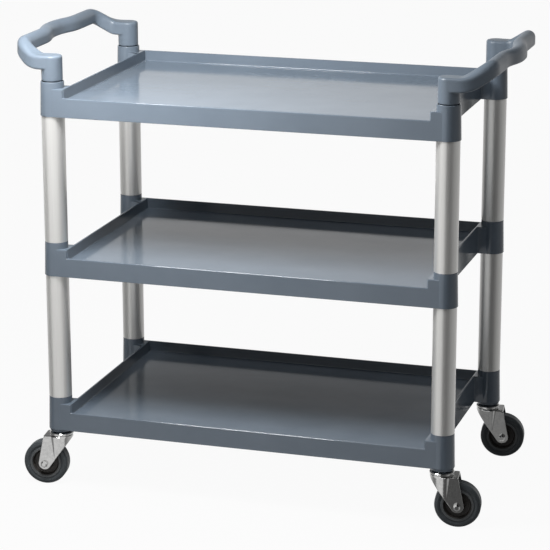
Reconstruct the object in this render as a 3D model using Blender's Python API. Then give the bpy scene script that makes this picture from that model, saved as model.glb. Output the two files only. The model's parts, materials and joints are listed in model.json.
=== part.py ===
# Food service trolley: three moulded trays on tube posts, two end handles and four swivel casters.
# Metres, +Z up, +X along the length, the low loading lip faces -Y, origin on the floor under the middle.

import math

import bpy
import bmesh
from mathutils import Vector

# Posts and the gap left between pieces that seat on each other
POST_SPACING_X = 0.878
POST_SPACING_Y = 0.465
TUBE_DIAMETER = 0.0508
TUBE_WALL = 0.0016
TRAY_PITCH = 0.357
FIT_GAP = 0.0003

# Trays, heights measured up from the tray's underside
END_WALL_INSET = 0.0265
FRONT_FACE_OFFSET = 0.024
WALL_DRAFT = 0.003
WALL_THICKNESS = 0.0045
POCKET_DRAFT = 0.002
WALL_TOP = 0.061
LIP_TOP = 0.042
FLOOR_TOP = 0.037
FLOOR_THICKNESS = 0.004
LIP_RETURN = 0.001
COLLAR_HEIGHT = 0.075
COLLAR_FLARE = 0.002
FOOT_CHAMFER = 0.003
FOOT_DROP = 0.0065
SOCKET_DEPTH = 0.025
SPIGOT_HEIGHT = 0.030
SPIGOT_WALL = 0.003
COLLAR_WEB = 0.004
RIB_THICKNESS = 0.003
RIB_DEPTH = 0.012
CROSS_RIBS = 7
LONG_RIBS = 1

# Handles, heights measured up from the top tray's collar
LEG_DIAMETER = 0.0452
LEG_INSERT = 0.038
ARM_CENTRE = 0.0415
ARM_HEIGHT = 0.030
ARM_STRAIGHT = 0.038
ARM_BLEND = 0.014
ARM_TAPER = 0.090
CAP_ROUNDING = 0.006
GRIP_REACH = 0.080
GRIP_RISE = 0.030
GRIP_WIDTH = 0.0305
GRIP_HEIGHT = 0.0325
RISE_START = 0.024
RISE_END = 0.099
CORNER_INSET = 0.0255
CORNER_BLEND = 0.0455
BULGE_REACH = 0.016
BULGE_FLAT = 0.082
BULGE_LENGTH = 0.136
BULGE_BLEND = 0.0245
GRIP_TOP_ROUNDING = 0.011
GRIP_EDGE_ROUNDING = 0.003

# Casters
WHEEL_DIAMETER = 0.1016
TYRE_WIDTH = 0.032
TYRE_SHOULDER = 0.007
TYRE_SIDE_STEP = 0.0007
CORE_DIAMETER = 0.067
CORE_WIDTH = 0.031
RIM_THICKNESS = 0.006
WEB_THICKNESS = 0.010
CORE_DRAFT = 0.0014
BOSS_DIAMETER = 0.029
BOSS_SIDE_GAP = 0.0012
SLEEVE_DIAMETER = 0.016
AXLE_DIAMETER = 0.008
BOLT_HEAD_WIDTH = 0.013
BOLT_HEAD_HEIGHT = 0.005
NUT_HEIGHT = 0.0065
BOLT_TAIL = 0.002
TRAIL = 0.0355
CROWN_GAP = 0.012
FORK_PLATE = 0.0028
FORK_WIDTH = 0.047
FORK_LEAD = 0.026
FORK_TAIL = 0.0375
FORK_BEND = 0.008
FORK_SKIRT = 0.001
FORK_EYE = 0.014
RACE_DIAMETER = 0.054
RACE_RIM = 0.0021
RACE_HEIGHT = 0.0045
RACE_LIP = 0.0025
LOWER_RACE_HEIGHT = 0.005
KINGPIN_DIAMETER = 0.010
RIVET_DIAMETER = 0.018
RIVET_HEIGHT = 0.004
PLUG_DIAMETER = 0.040
STEM_DIAMETER = 0.0127
STEM_LENGTH = 0.021
STEM_SHOULDER_DIAMETER = 0.024
STEM_SHOULDER_HEIGHT = 0.001

# Facets of round pieces; a multiple of four stands the wheel on a flat facet
POST_SIDES = 20
WHEEL_SIDES = 24
CORE_SIDES = 16
RACE_SIDES = 14
PIN_SIDES = 8
BEND_STEPS = 5
PATH_STEPS = 28

# Where the posts stand, and which way each caster trails
CORNERS = {"front_left": (-1, -1), "front_right": (1, -1), "rear_left": (-1, 1), "rear_right": (1, 1)}
CASTER_TURN = {"front_left": 187, "front_right": 8, "rear_left": 187, "rear_right": 8}

# Sizes that follow from the ones above
post_x = POST_SPACING_X / 2
post_y = POST_SPACING_Y / 2
tube_radius = TUBE_DIAMETER / 2
tube_bore = tube_radius - TUBE_WALL
socket_radius = tube_radius + FIT_GAP
spigot_radius = tube_bore - FIT_GAP
leg_radius = LEG_DIAMETER / 2
wheel_radius = WHEEL_DIAMETER / 2
axle_height = wheel_radius * math.cos(math.pi / WHEEL_SIDES)
crown_bottom = axle_height + wheel_radius + CROWN_GAP
crown_top = crown_bottom + FORK_PLATE
lower_race_top = crown_top + LOWER_RACE_HEIGHT
race_bottom = lower_race_top + FIT_GAP
race_top = race_bottom + RACE_HEIGHT
shoulder_bottom = race_top + FIT_GAP
foot_bottom = shoulder_bottom + STEM_SHOULDER_HEIGHT + FIT_GAP
tray_underside = foot_bottom + FOOT_DROP
plug_radius = PLUG_DIAMETER / 2
fork_inner = FORK_WIDTH / 2 - FORK_PLATE


def clear_scene():
    for item in list(bpy.data.objects):
        bpy.data.objects.remove(item)


def principled(name, colour, roughness, metallic):
    material = bpy.data.materials.new(name)
    material.use_nodes = True
    shader = material.node_tree.nodes["Principled BSDF"]
    shader.inputs["Base Color"].default_value = (*colour, 1.0)
    shader.inputs["Roughness"].default_value = roughness
    shader.inputs["Metallic"].default_value = metallic
    return material


def place(name, mesh, material, location=(0, 0, 0), turn=0.0, parent=None):
    item = bpy.data.objects.new(name, mesh)
    item.location = location
    item.rotation_euler = (0, 0, turn)
    item.parent = parent
    if not mesh.materials:
        mesh.materials.append(material)
    bpy.context.scene.collection.objects.link(item)
    return item


def pivot(name, location, turn=0.0, parent=None):
    empty = bpy.data.objects.new(name, None)
    empty.location = location
    empty.rotation_euler = (0, 0, turn)
    empty.parent = parent
    bpy.context.scene.collection.objects.link(empty)
    return empty


def finish_mesh(bm, name):
    bmesh.ops.recalc_face_normals(bm, faces=bm.faces)
    mesh = bpy.data.meshes.new(name)
    bm.to_mesh(mesh)
    bm.free()
    mesh.shade_smooth()
    mesh.set_sharp_from_angle(angle=math.radians(35))
    return mesh


def loft(name, sections, closed=False):
    # Quads between sections of equal point counts; open lofts are capped at both ends
    bm = bmesh.new()
    rings = [[bm.verts.new(point) for point in section] for section in sections]
    count = len(rings[0])
    pairs = list(zip(rings, rings[1:]))
    if closed:
        pairs.append((rings[-1], rings[0]))
    for low, high in pairs:
        for i in range(count):
            j = (i + 1) % count
            bm.faces.new((low[i], low[j], high[j], high[i]))
    if not closed:
        bm.faces.new(rings[0])
        bm.faces.new(rings[-1])
    return finish_mesh(bm, name)


def circle(radius, height, sides, centre=(0, 0)):
    # Half a step of phase puts a flat, not an edge, at each quarter
    angles = [2 * math.pi * (i + 0.5) / sides for i in range(sides)]
    return [(centre[0] + radius * math.cos(a), centre[1] + radius * math.sin(a), height) for a in angles]


def turned_solid(name, profile, sides, centre=(0, 0)):
    return loft(name, [circle(radius, height, sides, centre) for radius, height in profile])


def turned_ring(name, profile, sides):
    return loft(name, [circle(radius, height, sides) for radius, height in profile], closed=True)


def running_bore(pin_radius, sides):
    # Corner radius of a faceted bore whose flats clear the pin at every angle
    return (pin_radius + FIT_GAP) / math.cos(math.pi / sides)


def lay_along_y(mesh):
    # Turn a piece made round Z so that its axis runs along Y
    for vertex in mesh.vertices:
        x, y, z = vertex.co
        vertex.co = (x, -z, y)
    return mesh


def prism(name, outline, bottom, top, top_outline=None):
    upper = top_outline or outline
    return loft(name, [[(x, y, bottom) for x, y in outline], [(x, y, top) for x, y in upper]])


def rectangle(half_x, front, back):
    return [(-half_x, front), (half_x, front), (half_x, back), (-half_x, back)]


def box(name, low, high):
    outline = [(low[0], low[1]), (high[0], low[1]), (high[0], high[1]), (low[0], high[1])]
    return prism(name, outline, low[2], high[2])


def combine(base, tools, operation):
    # Boolean each tool mesh into the base mesh and return the result as a plain mesh
    item = bpy.data.objects.new("working", base)
    bpy.context.scene.collection.objects.link(item)
    helpers = []
    for tool in tools:
        helper = bpy.data.objects.new("tool", tool)
        bpy.context.scene.collection.objects.link(helper)
        step = item.modifiers.new("step", "BOOLEAN")
        step.object = helper
        step.operation = operation
        helpers.append(helper)
    evaluated = item.evaluated_get(bpy.context.evaluated_depsgraph_get())
    result = bpy.data.meshes.new_from_object(evaluated)
    for helper in helpers + [item]:
        bpy.data.objects.remove(helper)
    return result


def tray_outline(inset):
    # Plan of the tray with an ear at each corner that carries the post collar
    end_x = post_x - END_WALL_INSET - inset
    ear = FRONT_FACE_OFFSET - inset
    half = [
        (post_x, -post_y - ear),
        (post_x, -post_y + ear),
        (end_x, -post_y + ear),
        (end_x, post_y - ear),
        (post_x, post_y - ear),
        (post_x, post_y + ear),
    ]
    return half + [(-x, y) for x, y in reversed(half)]


def wall_inset(height):
    return WALL_DRAFT * height / WALL_TOP


def tray_body(on_casters):
    # The bottom tray's collars taper to a foot below the tray, where they stand on the casters
    body = prism("tray", tray_outline(0), 0, WALL_TOP, tray_outline(WALL_DRAFT))
    flare = tube_radius + COLLAR_FLARE
    profile = [(flare, 0), (tube_radius, COLLAR_HEIGHT)]
    if on_casters:
        profile[:1] = [(flare - FOOT_CHAMFER, -FOOT_DROP), (flare, 0)]
    collars = []
    for side_x, side_y in CORNERS.values():
        collars.append(turned_solid("collar", profile, POST_SIDES, (side_x * post_x, side_y * post_y)))
    return combine(body, collars, "UNION")


def tray_pockets():
    end_x = post_x - END_WALL_INSET
    side_y = post_y + FRONT_FACE_OFFSET
    over = WALL_THICKNESS
    top_inset = WALL_DRAFT + WALL_THICKNESS
    floor_inset = top_inset + POCKET_DRAFT
    slope = POCKET_DRAFT / (WALL_TOP - FLOOR_TOP)
    mouth_inset = top_inset - slope * over
    low = rectangle(end_x - floor_inset, floor_inset - side_y, side_y - floor_inset)
    high = rectangle(end_x - mouth_inset, mouth_inset - side_y, side_y - mouth_inset)
    well = prism("well", low, FLOOR_TOP, WALL_TOP + over, high)
    opening_x = end_x - floor_inset - LIP_RETURN
    opening = box("opening", (-opening_x, -side_y - over, LIP_TOP),
                  (opening_x, floor_inset - side_y + over, COLLAR_HEIGHT))
    ceiling = FLOOR_TOP - FLOOR_THICKNESS
    foot_inset = WALL_THICKNESS
    head_inset = WALL_THICKNESS + wall_inset(ceiling)
    foot = rectangle(end_x - foot_inset, foot_inset - side_y, side_y - foot_inset)
    head = rectangle(end_x - head_inset, head_inset - side_y, side_y - head_inset)
    underside = prism("underside", foot, -over, ceiling, head)
    return [well, opening, underside]


def tray_ribs():
    ceiling = FLOOR_TOP - FLOOR_THICKNESS
    low = ceiling - RIB_DEPTH
    high = ceiling + FLOOR_THICKNESS / 2
    reach_x = post_x - END_WALL_INSET - WALL_THICKNESS
    reach_y = post_y + FRONT_FACE_OFFSET - WALL_THICKNESS
    half = RIB_THICKNESS / 2
    ribs = []
    for i in range(CROSS_RIBS):
        x = 2 * reach_x * ((i + 1) / (CROSS_RIBS + 1) - 0.5)
        ribs.append(box("cross rib", (x - half, -reach_y, low), (x + half, reach_y, high)))
    for i in range(LONG_RIBS):
        y = 2 * reach_y * ((i + 1) / (LONG_RIBS + 1) - 0.5)
        ribs.append(box("long rib", (-reach_x, y - half, low), (reach_x, y + half, high)))
    return ribs


def collar_cylinders(radius, bottom, top):
    profile = [(radius, bottom), (radius, top)]
    centres = [(side_x * post_x, side_y * post_y) for side_x, side_y in CORNERS.values()]
    return [turned_solid("core", profile, POST_SIDES, centre) for centre in centres]


def tray_mesh(with_spigots, on_casters):
    # Lower trays stand a spigot in the tube above; the top tray's collars take the handle legs
    mesh = combine(tray_body(on_casters), tray_pockets(), "DIFFERENCE")
    mesh = combine(mesh, tray_ribs(), "UNION")
    over = WALL_THICKNESS
    core_bottom = SOCKET_DEPTH + COLLAR_WEB
    if with_spigots:
        spigot_top = COLLAR_HEIGHT + SPIGOT_HEIGHT
        spigots = collar_cylinders(spigot_radius, core_bottom, spigot_top)
        mesh = combine(mesh, spigots, "UNION")
        cores = collar_cylinders(spigot_radius - SPIGOT_WALL, core_bottom, spigot_top + over)
    else:
        leg_seat = COLLAR_HEIGHT - LEG_INSERT - FIT_GAP
        cores = collar_cylinders(leg_radius + FIT_GAP, leg_seat, COLLAR_HEIGHT + over)
    mesh = combine(mesh, cores, "DIFFERENCE")
    socket = plug_radius + FIT_GAP if on_casters else socket_radius
    return combine(mesh, collar_cylinders(socket, -FOOT_DROP - over, SOCKET_DEPTH), "DIFFERENCE")


def tube_mesh():
    length = TRAY_PITCH - COLLAR_HEIGHT + SOCKET_DEPTH - 2 * FIT_GAP
    profile = [(tube_radius, 0), (tube_radius, length), (tube_bore, length), (tube_bore, 0)]
    return turned_ring("tube", profile, POST_SIDES)


def ease(value):
    value = min(max(value, 0.0), 1.0)
    return value * value * (3 - 2 * value)


def blended_path(points, blends, steps=8):
    # Straight runs with each corner rounded by a quadratic blend
    path = [points[0]]
    for before, corner, after, blend in zip(points, points[1:], points[2:], blends):
        back = before - corner
        ahead = after - corner
        reach = min(blend, 0.499 * back.length, 0.499 * ahead.length)
        start = corner + back.normalized() * reach
        end = corner + ahead.normalized() * reach
        for i in range(steps + 1):
            t = i / steps
            path.append(start * (1 - t) ** 2 + corner * (2 * t * (1 - t)) + end * t ** 2)
    path.append(points[-1])
    return path


def even_points(path, count):
    lengths = [0.0]
    for a, b in zip(path, path[1:]):
        lengths.append(lengths[-1] + (b - a).length)
    points = []
    index = 0
    for i in range(count + 1):
        along = lengths[-1] * i / count
        while index < len(path) - 2 and lengths[index + 1] < along:
            index += 1
        share = (along - lengths[index]) / (lengths[index + 1] - lengths[index])
        points.append((path[index].lerp(path[index + 1], share), along))
    return points, lengths[-1]


def handle_path():
    # Plan of the handle outward from the rear post, round the grip and back to the front post
    corner_y = post_y - CORNER_INSET
    bulge_x = GRIP_REACH + BULGE_REACH
    rear = [
        Vector((0, post_y, 0)),
        Vector((ARM_STRAIGHT, post_y, 0)),
        Vector((GRIP_REACH, corner_y, 0)),
        Vector((GRIP_REACH, BULGE_LENGTH / 2, 0)),
        Vector((bulge_x, BULGE_FLAT / 2, 0)),
    ]
    front = [Vector((p.x, -p.y, 0)) for p in reversed(rear)]
    blends = [ARM_BLEND, CORNER_BLEND, BULGE_BLEND, BULGE_BLEND]
    path = blended_path(rear + front, blends + blends[::-1])
    points, length = even_points(path, PATH_STEPS)
    spine = []
    for point, along in points:
        reach = min(along, length - along)
        rise = GRIP_RISE * ease((reach - RISE_START) / (RISE_END - RISE_START))
        taper = ease((reach - CAP_ROUNDING) / ARM_TAPER)
        spine.append((point + Vector((0, 0, ARM_CENTRE + rise)), taper))
    return spine


def grip_section(width, height):
    # Rounded over the top, flat below with a small edge rounding
    upper = min(GRIP_TOP_ROUNDING, 0.45 * width, 0.45 * height)
    lower = GRIP_EDGE_ROUNDING
    corners = [
        (width / 2 - upper, height / 2 - upper, upper, 0, 4),
        (upper - width / 2, height / 2 - upper, upper, 90, 4),
        (lower - width / 2, lower - height / 2, lower, 180, 2),
        (width / 2 - lower, lower - height / 2, lower, 270, 2),
    ]
    points = []
    for x, y, radius, start, count in corners:
        for i in range(count):
            angle = math.radians(start + 90 * i / (count - 1))
            points.append((x + radius * math.cos(angle), y + radius * math.sin(angle)))
    return points


def handle_mesh():
    spine = handle_path()
    arm_width = LEG_DIAMETER - CAP_ROUNDING / 2
    sections = []
    for i, (point, taper) in enumerate(spine):
        behind = spine[max(i - 1, 0)][0]
        ahead = spine[min(i + 1, len(spine) - 1)][0]
        along = (ahead - behind).normalized()
        across = along.cross(Vector((0, 0, 1))).normalized()
        upward = across.cross(along)
        width = arm_width + (GRIP_WIDTH - arm_width) * taper
        height = ARM_HEIGHT + (GRIP_HEIGHT - ARM_HEIGHT) * taper
        sections.append([point + across * a + upward * b for a, b in grip_section(width, height)])
    bar = loft("handle", sections)
    cap_top = ARM_CENTRE + ARM_HEIGHT / 2 + CAP_ROUNDING / 8
    profile = [(leg_radius, -LEG_INSERT), (leg_radius, cap_top - CAP_ROUNDING)]
    for i in range(1, 4):
        angle = math.radians(30 * i)
        inset = CAP_ROUNDING * (1 - math.cos(angle))
        profile.append((leg_radius - inset, cap_top - CAP_ROUNDING * (1 - math.sin(angle))))
    legs = [turned_solid("leg", profile, POST_SIDES, (0, side * post_y)) for side in (-1, 1)]
    return combine(bar, legs, "UNION")


def plug_mesh():
    # Plastic plug that fills the bottom tray's socket and grips the caster stem
    height = FOOT_DROP + SOCKET_DEPTH - FIT_GAP
    bore = STEM_DIAMETER / 2 + FIT_GAP
    depth = STEM_LENGTH + FIT_GAP
    plug = turned_solid("plug", [(plug_radius, 0), (plug_radius, height)], POST_SIDES)
    hole = turned_solid("hole", [(bore, -depth), (bore, depth)], PIN_SIDES)
    return combine(plug, [hole], "DIFFERENCE")


def stem_mesh():
    # Stem, shoulder and kingpin in one turning, riveted over under the fork crown
    rivet_top = crown_bottom - FIT_GAP
    shoulder_top = shoulder_bottom + STEM_SHOULDER_HEIGHT
    stem_top = foot_bottom + STEM_LENGTH
    pin = KINGPIN_DIAMETER / 2
    shoulder = STEM_SHOULDER_DIAMETER / 2
    stem = STEM_DIAMETER / 2
    profile = [
        (RIVET_DIAMETER / 2 - RIVET_HEIGHT / 2, rivet_top - RIVET_HEIGHT),
        (RIVET_DIAMETER / 2, rivet_top - RIVET_HEIGHT / 2),
        (RIVET_DIAMETER / 2, rivet_top),
        (pin, rivet_top),
        (pin, shoulder_bottom),
        (shoulder, shoulder_bottom),
        (shoulder, shoulder_top),
        (stem, shoulder_top),
        (stem, stem_top),
    ]
    return turned_solid("stem", profile, PIN_SIDES)


def race_mesh():
    # Pressed upper cup whose rim hangs over the fork's race
    bore = KINGPIN_DIAMETER / 2 + FIT_GAP
    outer = RACE_DIAMETER / 2
    crest = outer - RACE_HEIGHT / 2
    profile = [
        (bore, race_bottom),
        (bore, race_top),
        (crest, race_top),
        (outer, race_bottom + RACE_HEIGHT / 2),
        (outer, race_bottom - RACE_LIP),
        (outer - RACE_RIM, race_bottom - RACE_LIP),
        (outer - RACE_RIM, race_bottom),
    ]
    return turned_ring("race", profile, RACE_SIDES)


def fork_plan(inset):
    # Half-round lead end about the bend line, straight legs back past the axle eye
    lead = FORK_LEAD + FORK_BEND - inset
    half = FORK_WIDTH / 2 - inset
    end = TRAIL + 2 * FORK_EYE + inset
    points = [(end, half)]
    for i in range(2 * BEND_STEPS + 1):
        angle = math.pi / 2 * (1 - i / BEND_STEPS)
        points.append((FORK_BEND - lead * math.cos(angle), half * math.sin(angle)))
    points.append((end, -half))
    return points


def fork_side():
    # Side view of a leg: from the crown down to a round eye about the axle
    eye = Vector((TRAIL, axle_height))
    skirt = crown_bottom - FORK_SKIRT
    lead = Vector((-FORK_LEAD, skirt))
    tail = Vector((FORK_TAIL, skirt))
    points = [(-FORK_LEAD - FORK_PLATE, crown_top), (-FORK_LEAD - FORK_PLATE, skirt), tuple(lead)]
    first = tangent_angle(eye, lead, 1)
    last = tangent_angle(eye, tail, -1) + 2 * math.pi
    for i in range(2 * BEND_STEPS + 1):
        angle = first + (last - first) * i / (2 * BEND_STEPS)
        points.append((eye.x + FORK_EYE * math.cos(angle), eye.y + FORK_EYE * math.sin(angle)))
    points += [tuple(tail), (FORK_TAIL, crown_top)]
    return points


def tangent_angle(eye, point, side):
    # Angle on the eye where a line from the point touches it
    toward = math.atan2(point.y - eye.y, point.x - eye.x)
    return toward + side * math.acos(FORK_EYE / (point - eye).length)


def fork_mesh():
    shell = prism("fork", fork_plan(0), axle_height - 2 * FORK_EYE, crown_top)
    hollow = prism("hollow", fork_plan(FORK_PLATE), axle_height - 3 * FORK_EYE, crown_bottom)
    shell = combine(shell, [hollow], "DIFFERENCE")
    side = lay_along_y(prism("side", fork_side(), -FORK_WIDTH, FORK_WIDTH))
    shell = combine(shell, [side], "INTERSECT")
    seat = (RACE_DIAMETER / 2 - RACE_RIM) * math.cos(math.pi / RACE_SIDES) - FIT_GAP
    race = turned_solid("race", [(seat, crown_top - FORK_PLATE / 2), (seat, lower_race_top)], RACE_SIDES)
    shell = combine(shell, [race], "UNION")
    pin_hole = running_bore(KINGPIN_DIAMETER / 2, PIN_SIDES)
    bolt_hole = AXLE_DIAMETER / 2 + FIT_GAP
    drill_top = lower_race_top + FORK_PLATE
    drill = turned_solid("drill", [(pin_hole, axle_height), (pin_hole, drill_top)], PIN_SIDES)
    bore = turned_solid("bore", [(bolt_hole, -FORK_WIDTH), (bolt_hole, FORK_WIDTH)], PIN_SIDES)
    lay_along_y(bore)
    for vertex in bore.vertices:
        vertex.co += Vector((TRAIL, 0, axle_height))
    return combine(shell, [drill, bore], "DIFFERENCE")


def hexagon(width, height):
    return circle(width / math.sqrt(3), height, 6)


def axle_mesh():
    # Hex-headed bolt along Y, its head outside the fork leg on the -Y side
    radius = AXLE_DIAMETER / 2
    head_base = FORK_WIDTH / 2 + FIT_GAP
    tail = -FORK_WIDTH / 2 - FIT_GAP - NUT_HEIGHT - BOLT_TAIL
    head_top = head_base + BOLT_HEAD_HEIGHT
    head = loft("axle", [hexagon(BOLT_HEAD_WIDTH, head_base), hexagon(BOLT_HEAD_WIDTH, head_top)])
    shank_top = head_base + BOLT_HEAD_HEIGHT / 2
    shank = turned_solid("shank", [(radius, tail), (radius, shank_top)], PIN_SIDES)
    return lay_along_y(combine(head, [shank], "UNION"))


def nut_mesh():
    top = -FORK_WIDTH / 2 - FIT_GAP
    bore = AXLE_DIAMETER / 2 + FIT_GAP
    nut = loft("nut", [hexagon(BOLT_HEAD_WIDTH, top - NUT_HEIGHT), hexagon(BOLT_HEAD_WIDTH, top)])
    hole = turned_solid("hole", [(bore, top - 2 * NUT_HEIGHT), (bore, top + NUT_HEIGHT)], PIN_SIDES)
    return lay_along_y(combine(nut, [hole], "DIFFERENCE"))


def sleeve_mesh():
    half = fork_inner - FIT_GAP
    outer = SLEEVE_DIAMETER / 2
    bore = AXLE_DIAMETER / 2 + FIT_GAP
    profile = [(outer, -half), (outer, half), (bore, half), (bore, -half)]
    return lay_along_y(turned_ring("sleeve", profile, PIN_SIDES))


def core_mesh():
    # Wheel core: bored boss, thin web and a rim that carries the tyre
    bore = running_bore(SLEEVE_DIAMETER / 2, CORE_SIDES)
    boss = BOSS_DIAMETER / 2
    boss_end = fork_inner - BOSS_SIDE_GAP
    outer = CORE_DIAMETER / 2
    rim = outer - RIM_THICKNESS
    half = [
        (bore, boss_end),
        (boss, boss_end),
        (boss + CORE_DRAFT, WEB_THICKNESS / 2),
        (rim - CORE_DRAFT, WEB_THICKNESS / 2),
        (rim, CORE_WIDTH / 2),
        (outer, CORE_WIDTH / 2),
    ]
    profile = half + [(radius, -along) for radius, along in reversed(half)]
    return lay_along_y(turned_ring("core", profile, CORE_SIDES))


def tyre_mesh():
    inner = CORE_DIAMETER / 2 + FIT_GAP
    half_width = TYRE_WIDTH / 2
    half = [
        (inner, half_width - TYRE_SIDE_STEP),
        (inner + TYRE_SHOULDER, half_width),
        (wheel_radius - TYRE_SHOULDER / 2, half_width - TYRE_SHOULDER / 4),
        (wheel_radius, half_width - TYRE_SHOULDER),
    ]
    profile = half + [(radius, -along) for radius, along in reversed(half)]
    return lay_along_y(turned_ring("tyre", profile, WHEEL_SIDES))


def build_frame(plastic, aluminium):
    trays = {
        "bottom_tray": tray_mesh(with_spigots=True, on_casters=True),
        "middle_tray": tray_mesh(with_spigots=True, on_casters=False),
        "top_tray": tray_mesh(with_spigots=False, on_casters=False),
    }
    for level, (name, mesh) in enumerate(trays.items()):
        place(name, mesh, plastic, (0, 0, tray_underside + level * TRAY_PITCH))
    tube = tube_mesh()
    for level, run in enumerate(("lower", "upper")):
        foot = tray_underside + level * TRAY_PITCH + COLLAR_HEIGHT + FIT_GAP
        for corner, (side_x, side_y) in CORNERS.items():
            place(f"{run}_post_{corner}", tube, aluminium, (side_x * post_x, side_y * post_y, foot))
    handle = handle_mesh()
    collar_top = tray_underside + 2 * TRAY_PITCH + COLLAR_HEIGHT
    place("right_handle", handle, plastic, (post_x, 0, collar_top))
    place("left_handle", handle, plastic, (-post_x, 0, collar_top), math.pi)


def build_casters(plastic, zinc, core_plastic, rubber):
    fixed = {"stem_plug": (plug_mesh(), plastic, foot_bottom), "caster_stem": (stem_mesh(), zinc, 0),
             "swivel_race": (race_mesh(), zinc, 0)}
    carried = {"caster_fork": (fork_mesh(), zinc, False), "axle_bolt": (axle_mesh(), zinc, True),
               "axle_nut": (nut_mesh(), zinc, True), "axle_sleeve": (sleeve_mesh(), zinc, True)}
    rolling = {"wheel_core": (core_mesh(), core_plastic), "wheel_tyre": (tyre_mesh(), rubber)}
    for corner, (side_x, side_y) in CORNERS.items():
        spot = (side_x * post_x, side_y * post_y, 0)
        for piece, (mesh, material, height) in fixed.items():
            place(f"{piece}_{corner}", mesh, material, (spot[0], spot[1], height))
        swivel = pivot(f"swivel_{corner}", spot, math.radians(CASTER_TURN[corner]))
        axle = pivot(f"axle_{corner}", (TRAIL, 0, axle_height), parent=swivel)
        for piece, (mesh, material, on_axle) in carried.items():
            place(f"{piece}_{corner}", mesh, material, parent=axle if on_axle else swivel)
        for piece, (mesh, material) in rolling.items():
            place(f"{piece}_{corner}", mesh, material, parent=axle)


def main():
    clear_scene()
    plastic = principled("slate_plastic", (0.23, 0.27, 0.32), 0.42, 0.0)
    aluminium = principled("brushed_aluminium", (0.72, 0.71, 0.68), 0.32, 1.0)
    zinc = principled("zinc_plated_steel", (0.66, 0.67, 0.68), 0.30, 1.0)
    core_plastic = principled("wheel_core_plastic", (0.05, 0.048, 0.045), 0.50, 0.0)
    rubber = principled("grey_rubber", (0.045, 0.055, 0.062), 0.62, 0.0)
    build_frame(plastic, aluminium)
    build_casters(plastic, zinc, core_plastic, rubber)


main()
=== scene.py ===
import json
import math

import bmesh
import bpy
from mathutils import Matrix, Vector


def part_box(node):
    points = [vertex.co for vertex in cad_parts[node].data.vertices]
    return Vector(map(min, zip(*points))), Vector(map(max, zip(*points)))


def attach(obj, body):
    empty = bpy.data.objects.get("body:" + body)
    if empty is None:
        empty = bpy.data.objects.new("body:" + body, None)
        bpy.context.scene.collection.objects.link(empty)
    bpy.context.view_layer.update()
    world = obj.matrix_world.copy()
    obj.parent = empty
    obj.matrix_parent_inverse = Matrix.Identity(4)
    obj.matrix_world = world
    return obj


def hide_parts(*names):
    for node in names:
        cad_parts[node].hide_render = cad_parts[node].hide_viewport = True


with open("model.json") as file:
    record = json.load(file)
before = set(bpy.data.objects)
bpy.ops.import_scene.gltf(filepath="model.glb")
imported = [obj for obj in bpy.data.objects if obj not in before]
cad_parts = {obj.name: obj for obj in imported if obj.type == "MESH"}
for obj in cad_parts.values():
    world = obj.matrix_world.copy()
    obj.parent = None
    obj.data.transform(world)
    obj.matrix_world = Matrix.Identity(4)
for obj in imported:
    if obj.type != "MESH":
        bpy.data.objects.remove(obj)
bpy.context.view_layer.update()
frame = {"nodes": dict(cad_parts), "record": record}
nodeObjects = frame["nodes"]
print("frame loaded:", len(nodeObjects), "CAD nodes")

corners = {"front_left": (-1, -1), "front_right": (1, -1), "rear_left": (-1, 1), "rear_right": (1, 1)}


def middleOf(node):
    low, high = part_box(node)
    return (low + high) / 2


postMiddle = middleOf("lower_post_front_right")
postX = postMiddle.x
postY = -postMiddle.y
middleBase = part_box("middle_tray")[0].z
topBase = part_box("top_tray")[0].z
trayBase = {"bottom_tray": 2 * middleBase - topBase, "middle_tray": middleBase, "top_tray": topBase}


# camera fitted to the photograph's posts, tray edges and wheels
camera = {"place": (1.49137, -4.82561, 1.86244), "yaw": 0.3012, "pitch": 0.2707, "roll": -0.0015,
          "focal": 152.36, "sensor": 36.0, "farthest": 200}


def makeCamera():
    data = bpy.data.cameras.new("viewCamera")
    data.lens = camera["focal"]
    data.sensor_width = camera["sensor"]
    data.clip_end = camera["farthest"]
    item = bpy.data.objects.new("viewCamera", data)
    bpy.context.scene.collection.objects.link(item)
    aim = Matrix.Rotation(camera["yaw"], 4, "Z") @ Matrix.Rotation(math.pi / 2 - camera["pitch"], 4, "X")
    aim = aim @ Matrix.Rotation(camera["roll"], 4, "Z")
    item.matrix_world = Matrix.Translation(camera["place"]) @ aim
    bpy.context.scene.camera = item


# mesh helpers
weldDistance = 1e-6


def closedMesh(name, rings, loop=False, smoothAngle=32):
    verts = [point for ring in rings for point in ring]
    count = len(rings[0])
    faces = []
    last = len(rings) if loop else len(rings) - 1
    for i in range(last):
        low = i * count
        high = ((i + 1) % len(rings)) * count
        for j in range(count):
            k = (j + 1) % count
            faces.append((low + j, low + k, high + k, high + j))
    if not loop:
        faces.append(tuple(range(count)))
        faces.append(tuple((len(rings) - 1) * count + j for j in range(count)))
    return finishMesh(name, verts, faces, smoothAngle)


def finishMesh(name, verts, faces, smoothAngle=32):
    mesh = bpy.data.meshes.new(name)
    mesh.from_pydata([tuple(v) for v in verts], [], faces)
    work = bmesh.new()
    work.from_mesh(mesh)
    bmesh.ops.remove_doubles(work, verts=work.verts, dist=weldDistance)
    bmesh.ops.dissolve_degenerate(work, edges=work.edges, dist=weldDistance)
    bmesh.ops.recalc_face_normals(work, faces=work.faces)
    work.to_mesh(mesh)
    work.free()
    mesh.shade_smooth()
    mesh.set_sharp_from_angle(angle=math.radians(smoothAngle))
    return mesh


def circleRing(radius, height, sides, centre=(0, 0)):
    turns = [2 * math.pi * i / sides for i in range(sides)]
    return [(centre[0] + radius * math.cos(t), centre[1] + radius * math.sin(t), height) for t in turns]


def arcProfile(centre, radius, start, end, steps):
    turns = [math.radians(start + (end - start) * i / steps) for i in range(steps + 1)]
    return [(centre[0] + radius * math.cos(t), centre[1] + radius * math.sin(t)) for t in turns]


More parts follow.
